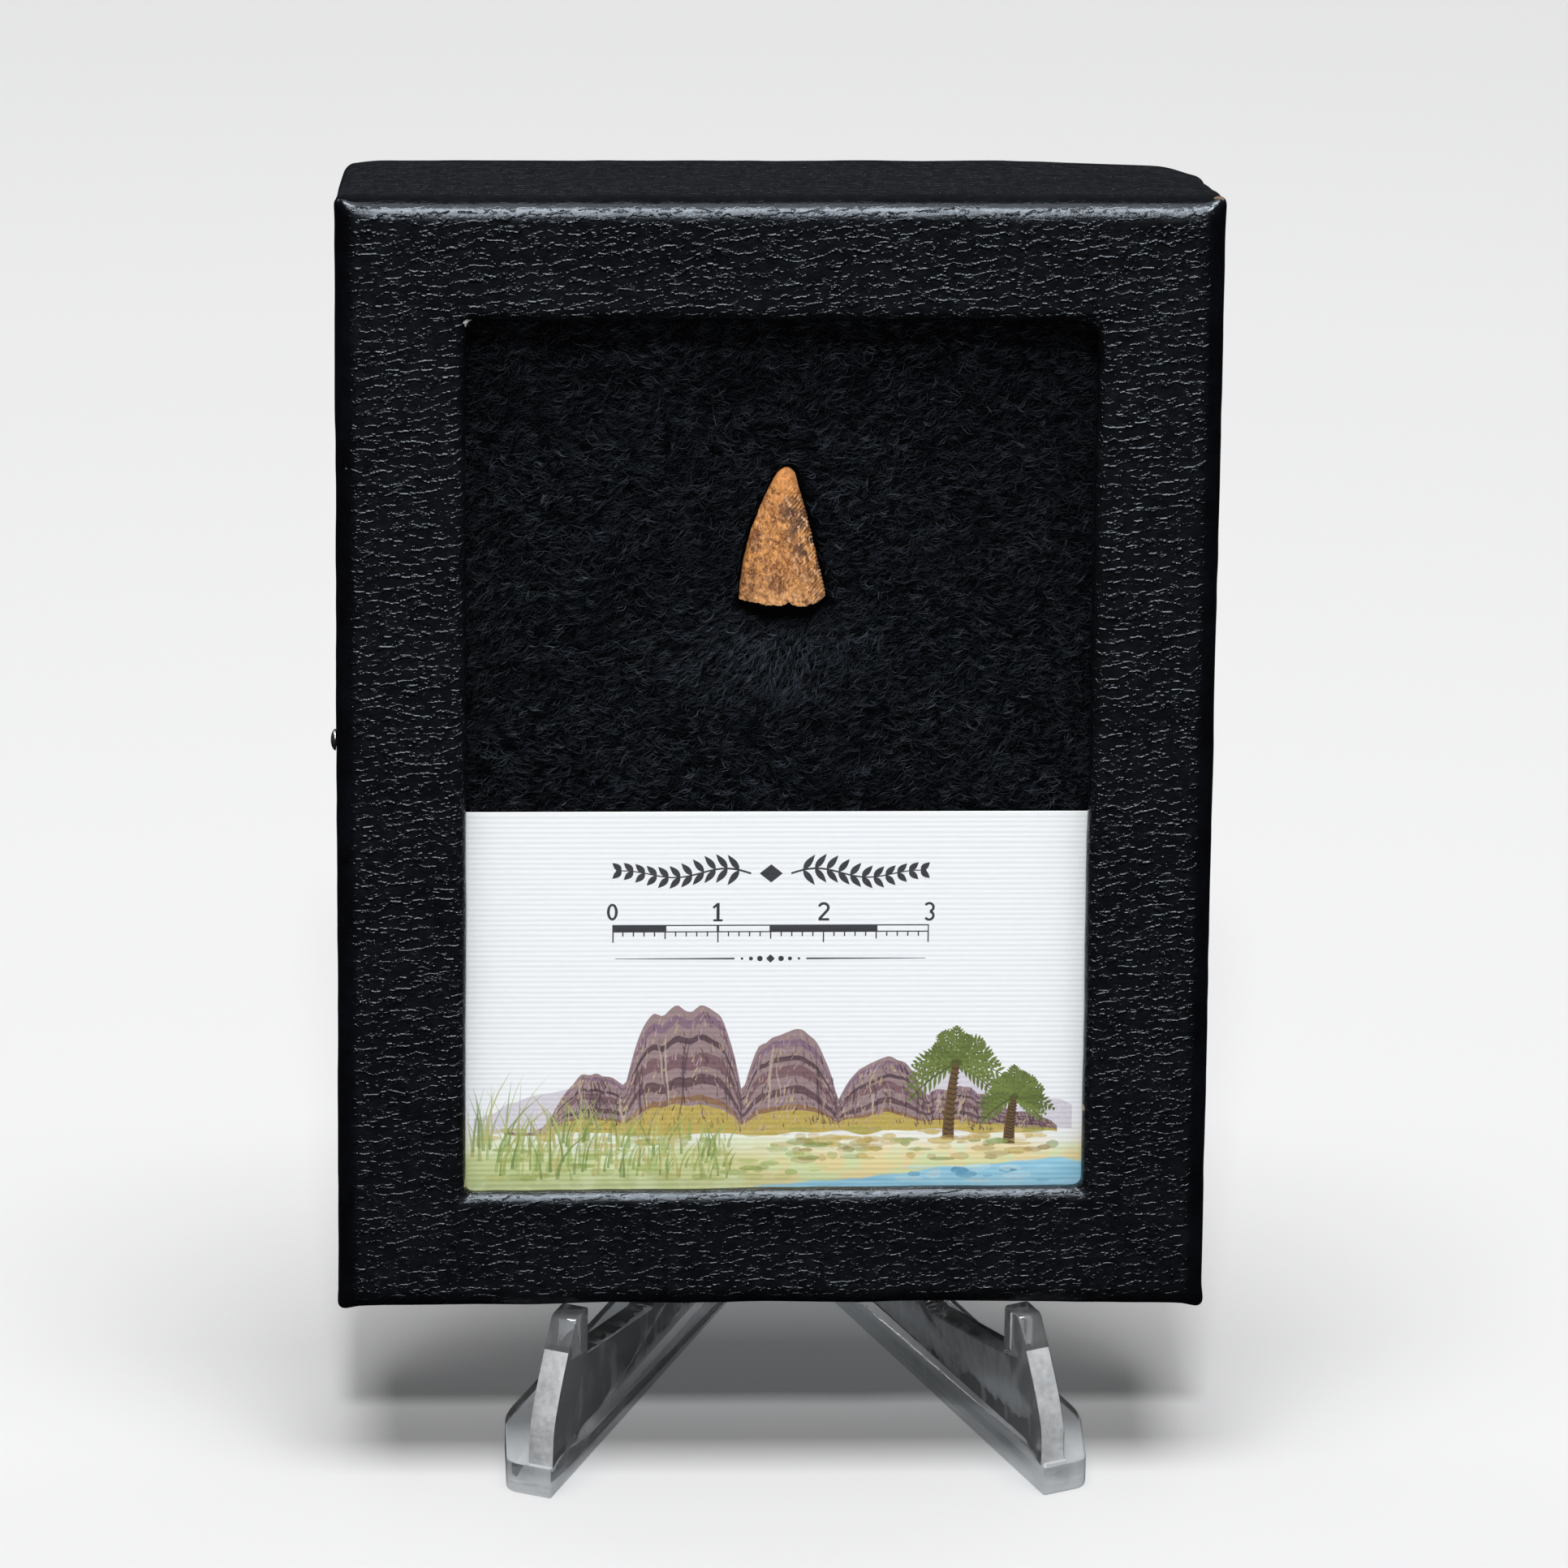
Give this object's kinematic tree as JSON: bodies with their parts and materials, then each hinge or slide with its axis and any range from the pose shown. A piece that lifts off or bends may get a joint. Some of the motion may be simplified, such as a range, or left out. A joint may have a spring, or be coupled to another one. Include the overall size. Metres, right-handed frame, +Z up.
{
  "type": "theropod tooth in display box on easel",
  "caption": "Fossil theropod tooth on black fibre in a windowed leatherette display box with a printed card, leaning on a clear V-shaped easel.",
  "frame": {"origin": "on the table, under the middle of the whole object", "axes": "+Z up, the window faces -Y, +X to the viewer's right"},
  "size_m": [0.0838, 0.0608, 0.124],
  "materials": {
    "leatherette": "embossed satin",
    "pane": "clear polished",
    "card": "matte linen",
    "fibre": "matted fleece",
    "tray": "matte paper",
    "tooth": "satin enamel",
    "pin": "bright",
    "easel": "clear moulded"
  },
  "bodies": {
    "root": {"lid": "leatherette", "window_pane": "pane", "card": "card", "fibre_pad": "fibre", "base_tray": "tray", "tooth": "tooth", "pin_left": "pin", "pin_right": "pin", "easel_leg_left": "easel", "easel_leg_right": "easel"}
  },
  "joints": []
}
